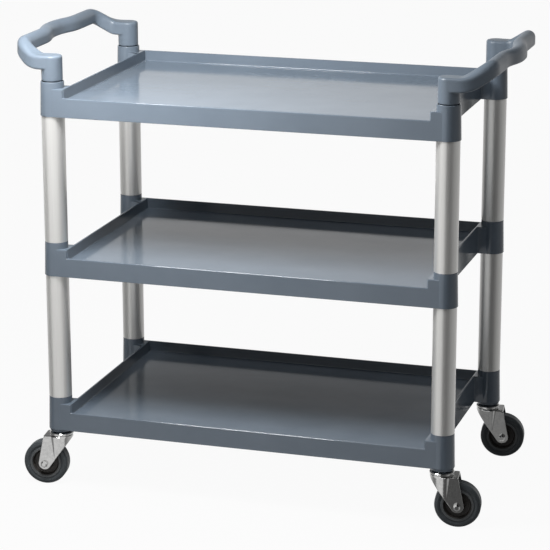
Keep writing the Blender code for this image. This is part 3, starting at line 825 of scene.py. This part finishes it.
def forkMesh(trail, axle, crownTop):
    past = fork["past"]
    wide = fork["wide"]
    far = fork["far"]
    skirt = crownTop - fork["plate"] - fork["skirt"]
    nose = -fork["lead"]
    tail = fork["tail"]
    eye = Vector((trail, axle))
    first = math.degrees(touchAngle(eye, Vector((nose, skirt)), 1))
    last = math.degrees(touchAngle(eye, Vector((tail, skirt)), -1)) + 360
    outline = [(nose - past, crownTop + past), (nose - past, skirt), (nose, skirt)]
    outline += arcProfile(tuple(eye), fork["eye"], first, last, 40)
    outline += [(tail, skirt), (tail, crownTop + past)]
    sideCut = closedMesh("sideCut", [[(x, y, z) for x, z in outline] for y in (-wide, wide)])
    shell = combined(forkShell(trail, axle, crownTop), sideCut, "INTERSECT")
    bend = fork["tailRound"]
    half = fork["half"]
    plan = [(-far, -wide), (-far, wide), (tail - 2 * bend, wide)]
    plan += arcProfile((tail - bend, half - bend), bend, 90, 0, 8)
    plan += arcProfile((tail - bend, bend - half), bend, 0, -90, 8)
    plan += [(tail - 2 * bend, -wide)]
    block = [(-far, -wide), (far, -wide), (far, wide), (-far, wide)]
    crown = combined(shell.copy(), prism("crownCut", plan, skirt - 2 * past, crownTop + past), "INTERSECT")
    legs = combined(shell, prism("legCut", block, 0, skirt), "INTERSECT")
    lowFoot, highFoot = fork["seatFoot"]
    flare = fork["seat"] + fork["seatFlare"]
    seat = [(flare, crownTop - fork["plate"] / 2), (flare, crownTop + lowFoot),
            (fork["seat"], crownTop + highFoot), (fork["seat"], crownTop + fork["seatRise"])]
    raw = joinMeshes("forkRaw", [crown, legs, turned("seat", seat, fork["seatSides"])])
    mesh = remeshed(raw, fork["voxel"], fork["relax"])
    mesh.shade_smooth()
    return mesh


def acrossAxle(mesh, axle, trail):
    # stand a piece turned about Z on the axle, its top toward +Y
    turn = Matrix.Rotation(-math.pi / 2, 4, "X")
    return moved(mesh, Matrix.Translation((trail, 0, axle)) @ turn)


def hexMesh(base, height):
    # six-sided head with a turned chamfer and a domed top
    flats = caster["hexWidth"] / 2
    radius = caster["hexWidth"] / math.sqrt(3)
    sides = caster["hexSides"]
    levels = [(base, 2.0)] + [(base + height - down, reach) for down, reach in caster["hexChamfer"]]
    rings = []
    for z, reach in levels:
        ring = []
        for i in range(sides):
            a = 2 * math.pi * i / sides
            flat = flats / math.cos((a + math.pi / 6) % (math.pi / 3) - math.pi / 6)
            r = min(flat, radius * reach)
            ring.append((r * math.cos(a), r * math.sin(a), z))
        rings.append(ring)
    rings.append(circleRing(caster["hexWidth"] * caster["domeShare"], base + height + caster["dome"], sides))
    return closedMesh("hex", rings, smoothAngle=25)


def mirroredRing(name, points, radii, sides, steps):
    # a ring turned from half of its section, which starts and ends on the middle plane
    line = roundedProfile(points, radii, steps)[1:-1]
    return turned(name, line + [(r, -z) for r, z in reversed(line)], sides, loop=True, smoothAngle=40)


def tyreMesh():
    half = wheel["half"]
    r = wheel["radius"]
    inner = wheel["beadInner"]
    outer = wheel["beadOuter"]
    bead = wheel["side"] + wheel["beadRise"]
    footOut, footDown = wheel["beadFoot"]
    edgeIn, edgeDown = wheel["shoulder"]
    points = [(inner, 0.0), (inner, bead), (outer, bead), (outer + footOut, wheel["side"] - footDown),
              (wheel["bulge"], half), (r - edgeIn, half - edgeDown), (r, half - wheel["tread"]), (r, 0.0)]
    mesh = mirroredRing("tyre", points, wheel["tyreRounds"], wheel["sides"], 5)
    paleBead = mesh.attributes.new("paleBead", "FLOAT", "POINT")  # the raised bead is painted paler
    for vert, value in zip(mesh.vertices, paleBead.data):
        value.value = 1.0 if math.hypot(vert.co.x, vert.co.y) < outer + wheel["paleReach"] else 0.0
    return mesh


def coreMesh():
    bore = wheel["bore"]
    boss = wheel["boss"]
    web = wheel["web"]
    rim = wheel["beadInner"] + wheel["rimGap"]
    lip = wheel["side"] - wheel["rimDrop"]
    points = [(bore, 0.0), (bore, wheel["bossHalf"]), (boss, wheel["bossHalf"]),
              (boss + wheel["bossDraft"], web), (rim - wheel["rimFoot"], web), (rim - wheel["rimWall"], lip),
              (rim, lip), (rim, 0.0)]
    return mirroredRing("core", points, wheel["coreRounds"], wheel["coreSides"], 4)


def raceMesh(low, high):
    # pressed cup with a rolled rim over the fork's ball track
    r = caster["raceRadius"]
    inner = r - caster["raceSheet"]
    bore = caster["pinRadius"] + caster["clearance"]
    shoulder, shoulderDown = caster["raceShoulder"]
    cupTop, cupFoot = caster["raceCup"]
    lip = low - caster["raceLip"]
    points = [(bore, low), (bore, high), (caster["raceTop"], high), (shoulder, high - shoulderDown),
              (inner, low + cupTop), (r, low + cupFoot), (r, lip), (inner, lip), (inner, low)]
    return turned("race", roundedProfile(points, caster["raceRounds"]), caster["raceSides"], loop=True)


def casterShapes(corner, trail, axle):
    # one set of meshes, drawn once and copied to every corner
    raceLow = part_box("swivel_race_" + corner)[0].z + caster["raceLip"]
    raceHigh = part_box("swivel_race_" + corner)[1].z
    crownTop = raceLow - fork["seatRise"] - caster["clearance"]
    outside = fork["half"] + caster["clearance"]
    boltEnd = -outside - caster["nutHeight"] - caster["tail"]
    shank = turned("shank", [(caster["shank"], boltEnd), (caster["shank"], outside)], caster["shankSides"])
    bolt = joinMeshes("bolt", [hexMesh(outside, caster["headHeight"]), shank], 25)
    nut = moved(hexMesh(outside, caster["nutHeight"]), Matrix.Rotation(math.pi, 4, "X"))
    shapes = {"bolt": bolt, "nut": nut, "core": coreMesh(), "tyre": tyreMesh()}
    for mesh in shapes.values():
        acrossAxle(mesh, axle, trail)
    shapes["fork"] = forkMesh(trail, axle, crownTop)
    shapes["race"] = raceMesh(raceLow, raceHigh)
    return shapes


def makeCasters():
    shapes = {}
    for corner, (sideX, sideY) in corners.items():
        post = Vector((sideX * postX, sideY * postY, 0))
        hub = middleOf("wheel_tyre_" + corner) - post
        if not shapes:
            shapes = casterShapes(corner, math.hypot(hub.x, hub.y), hub.z)
        place = Matrix.Translation(post) @ Matrix.Rotation(math.atan2(hub.y, hub.x), 4, "Z")
        swivel = "swivel_" + corner
        roller = "wheel_" + corner
        for name, body, slot, node in (
                ("fork", swivel, "zinc_plated_steel", "caster_fork_"),
                ("bolt", swivel, "zinc_plated_steel", "axle_bolt_"),
                ("nut", swivel, "zinc_plated_steel", "axle_nut_"),
                ("core", roller, "wheel_core_plastic", "wheel_core_"),
                ("tyre", roller, "grey_rubber", "wheel_tyre_"),
                ("race", "frame", "zinc_plated_steel", "swivel_race_")):
            mesh = moved(shapes[name].copy(), place)
            addPiece(name + "_" + corner, mesh, finish[slot], body, [node + corner])
    print("casters made:", len(shapes["fork"].polygons), "faces per fork")


# stage
lamps = {
    "keyLamp": {"place": (-0.37, -0.61, 1.52), "aim": (-0.15, -0.05, 0.6), "size": 0.45, "power": 20.0},
    "frontLamp": {"place": (-0.10, -1.75, 3.00), "aim": (0.0, 0.0, 0.6), "size": 1.0, "power": 13.0},
}


def makeLamps():
    for name, lamp in lamps.items():
        data = bpy.data.lights.new(name, "AREA")
        data.shape = "SQUARE"
        data.size = lamp["size"]
        data.energy = lamp["power"]
        item = bpy.data.objects.new(name, data)
        item.location = lamp["place"]
        toward = Vector(lamp["aim"]) - Vector(lamp["place"])
        item.rotation_euler = toward.to_track_quat("-Z", "Y").to_euler()
        item.visible_camera = False
        bpy.context.scene.collection.objects.link(item)


# the camera sees white all round; gloss and metal see a backdrop that is white behind and dim in front, given
# by azimuth from the front in degrees, and that fades out above
studio = {"floorHalf": 30.0, "floorColour": (0.4, 0.4, 0.4), "seenShare": 0.95,
          "backdrop": {-180: 0.97, -125: 0.90, -100: 0.60, -78: 0.28, -10: 0.28, 2: 0.11, 45: 0.11, 80: 0.45,
                       130: 0.70, 155: 0.90, 180: 0.97},
          "backdropTop": (0.26, 0.335), "aboveShare": 0.15, "ambientTop": 0.60, "ambientBase": 0.035}


def mathNode(nodes, links, operation, *values):
    node = nodes.new("ShaderNodeMath")
    node.operation = operation
    for socket, value in zip(node.inputs, values):
        if isinstance(value, (int, float)):
            socket.default_value = value
        else:
            links.new(value, socket)
    return node.outputs["Value"]


def makeFloor():
    half = studio["floorHalf"]
    points = [(-half, -half, 0), (half, -half, 0), (half, half, 0), (-half, half, 0)]
    mesh = finishMesh("studioFloor", points, [(0, 1, 2, 3)])
    floor = bpy.data.objects.new("studioFloor", mesh)
    bpy.context.scene.collection.objects.link(floor)
    material = bpy.data.materials.new("paleFloor")
    material.use_nodes = True
    nodes = material.node_tree.nodes
    links = material.node_tree.links
    nodes.clear()
    out = nodes.new("ShaderNodeOutputMaterial")
    diffuse = nodes.new("ShaderNodeBsdfDiffuse")
    diffuse.inputs["Color"].default_value = (*studio["floorColour"], 1)
    glow = nodes.new("ShaderNodeEmission")
    path = nodes.new("ShaderNodeLightPath").outputs
    clear = mathNode(nodes, links, "MAXIMUM", path["Is Camera Ray"], path["Is Transmission Ray"])
    share = mathNode(nodes, links, "MULTIPLY", clear, studio["seenShare"])
    mix = nodes.new("ShaderNodeMixShader")
    links.new(share, mix.inputs["Fac"])
    links.new(diffuse.outputs["BSDF"], mix.inputs[1])
    links.new(glow.outputs["Emission"], mix.inputs[2])
    links.new(mix.outputs["Shader"], out.inputs["Surface"])
    mesh.materials.append(material)
    floor.visible_glossy = False  # reflections see the world's backdrop below the horizon too


# white cards for the metal to reflect: one stands before the left half, one lies under the right end
cards = {"standingCard": {"corner": (-1.05, -0.71, -0.27), "across": (1.45, 0, 0), "along": (0, 0, 1.37),
                          "level": 0.74},
         "lyingCard": {"corner": (0.43, -0.30, 0.002), "across": (0.11, 0, 0), "along": (0, 0.45, 0),
                       "level": 0.225}}


def makeCards():
    for name, card in cards.items():
        corner = Vector(card["corner"])
        across = Vector(card["across"])
        along = Vector(card["along"])
        points = [corner, corner + across, corner + across + along, corner + along]
        mesh = finishMesh(name, points, [(0, 1, 2, 3)])
        item = bpy.data.objects.new(name, mesh)
        bpy.context.scene.collection.objects.link(item)
        material = bpy.data.materials.new(name)
        material.use_nodes = True
        nodes = material.node_tree.nodes
        nodes.clear()
        out = nodes.new("ShaderNodeOutputMaterial")
        glow = nodes.new("ShaderNodeEmission")
        glow.inputs["Strength"].default_value = card["level"]
        material.node_tree.links.new(glow.outputs["Emission"], out.inputs["Surface"])
        mesh.materials.append(material)
        item.visible_camera = False
        item.visible_diffuse = False
        item.visible_transmission = False
        item.visible_shadow = False


def makeWorld():
    world = bpy.data.worlds.new("studioWorld")
    bpy.context.scene.world = world
    world.use_nodes = True
    nodes = world.node_tree.nodes
    links = world.node_tree.links
    nodes.clear()
    out = nodes.new("ShaderNodeOutputWorld")
    sky = nodes.new("ShaderNodeBackground")
    path = nodes.new("ShaderNodeLightPath").outputs
    direction = nodes.new("ShaderNodeSeparateXYZ")
    links.new(nodes.new("ShaderNodeTexCoord").outputs["Generated"], direction.inputs["Vector"])
    x, y, z = (direction.outputs[axis] for axis in "XYZ")
    turn = mathNode(nodes, links, "ARCTAN2", x, mathNode(nodes, links, "MULTIPLY", y, -1.0))
    around = mathNode(nodes, links, "MULTIPLY_ADD", turn, 0.5 / math.pi, 0.5)
    stops = [((azimuth + 180) / 360, (level, level, level)) for azimuth, level in studio["backdrop"].items()]
    fade = nodes.new("ShaderNodeMapRange")
    fade.interpolation_type = "SMOOTHSTEP"
    fade.inputs["From Min"].default_value = studio["backdropTop"][0]
    fade.inputs["From Max"].default_value = studio["backdropTop"][1]
    fade.inputs["To Min"].default_value = 1.0
    fade.inputs["To Max"].default_value = studio["aboveShare"]
    links.new(z, fade.inputs["Value"])
    mirror = mathNode(nodes, links, "MULTIPLY", rampNode(nodes, links, around, stops), fade.outputs["Result"])
    upward = mathNode(nodes, links, "MAXIMUM", z, 0.0)
    upward = mathNode(nodes, links, "MULTIPLY", upward, upward)
    ambient = mathNode(nodes, links, "MULTIPLY_ADD", upward, studio["ambientTop"], studio["ambientBase"])
    clear = mathNode(nodes, links, "MAXIMUM", path["Is Camera Ray"], path["Is Transmission Ray"])
    glossy = path["Is Glossy Ray"]
    dull = mathNode(nodes, links, "SUBTRACT", 1.0, glossy)
    lit = mathNode(nodes, links, "MULTIPLY", ambient, dull)
    bounced = mathNode(nodes, links, "MULTIPLY_ADD", mirror, glossy, lit)
    links.new(mathNode(nodes, links, "MAXIMUM", clear, bounced), sky.inputs["Strength"])
    links.new(sky.outputs["Background"], out.inputs["Surface"])


makeCamera()
makeTrays()
makePosts()
makeHandles()
makeCasters()
for entry in frame["record"]["subparts"]:
    for slot in nodeObjects[entry["node"]].material_slots:  # the solids that still show
        slot.material = finish[entry["material_slot"]]
makeLamps()
makeFloor()
makeCards()
makeWorld()
print("lamps, floor and world made")
bpy.context.scene.view_settings.view_transform = "Standard"
print("scene ready")
